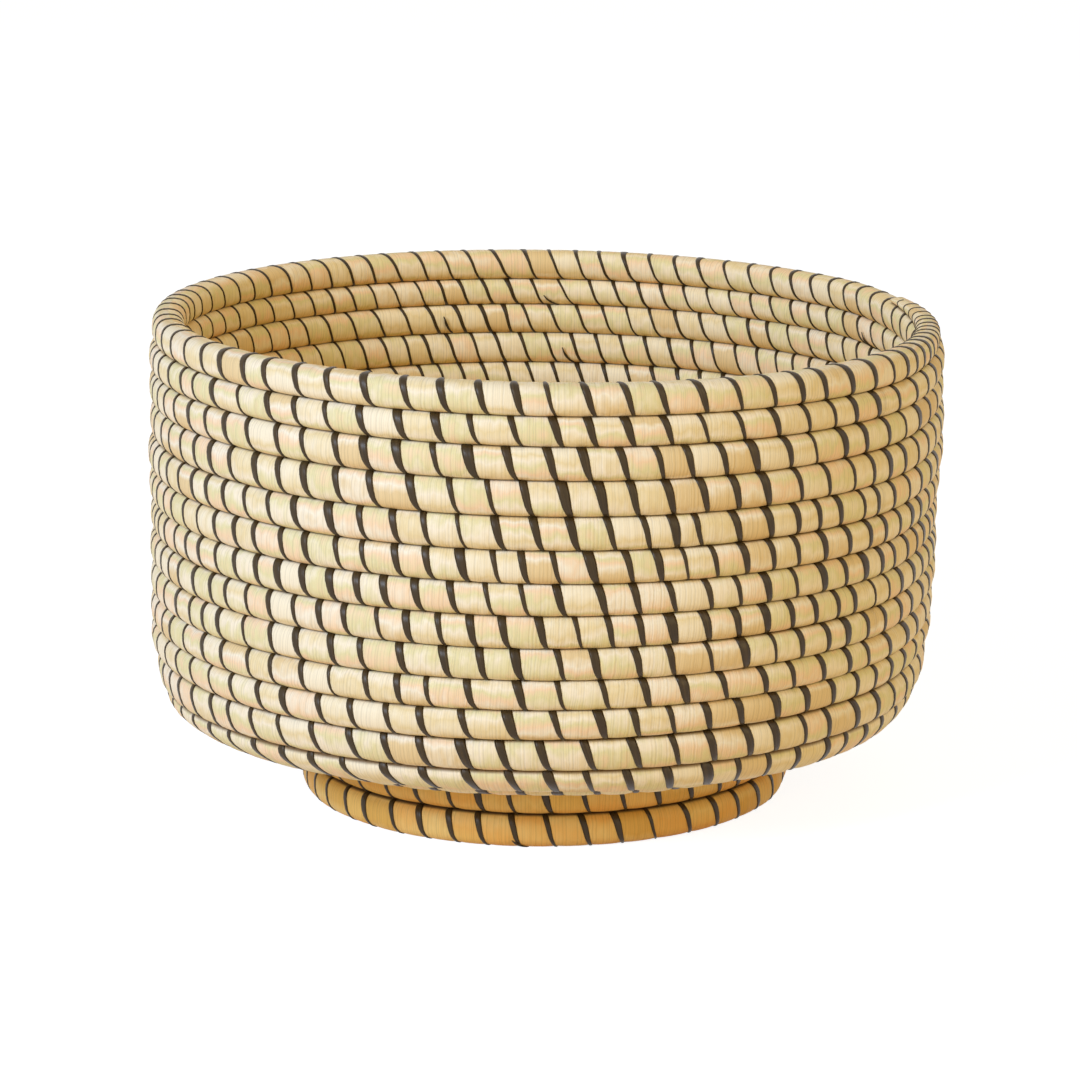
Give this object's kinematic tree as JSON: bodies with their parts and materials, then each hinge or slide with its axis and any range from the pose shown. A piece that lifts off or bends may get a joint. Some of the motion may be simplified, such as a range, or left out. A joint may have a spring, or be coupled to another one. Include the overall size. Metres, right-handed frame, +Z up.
{
  "type": "coiled raffia bowl",
  "caption": "Round bowl coiled from raffia-wrapped cord, with an upright barrel wall and a low foot ring, open at the top.",
  "frame": {"origin": "on the table, under the middle of the bowl", "axes": "+Z up along the bowl's axis; the pictured side faces -Y"},
  "size_m": [0.305, 0.305, 0.1853],
  "materials": {
    "natural_raffia": "dry, slightly glossy natural raffia, wound in fine strands",
    "grass_bundle": "dull dried grass stems, laid lengthwise",
    "black_raffia": "dyed brown-black raffia strand with a slight sheen"
  },
  "bodies": {
    "root": {"body_wrapping": "natural_raffia", "body_grass_core": "grass_bundle", "rim_tail": "natural_raffia", "centre_knot": "natural_raffia", "foot_wrapping": "natural_raffia", "foot_grass_core": "grass_bundle", "foot_lower_tail": "natural_raffia", "foot_upper_tail": "natural_raffia"}
  },
  "joints": []
}
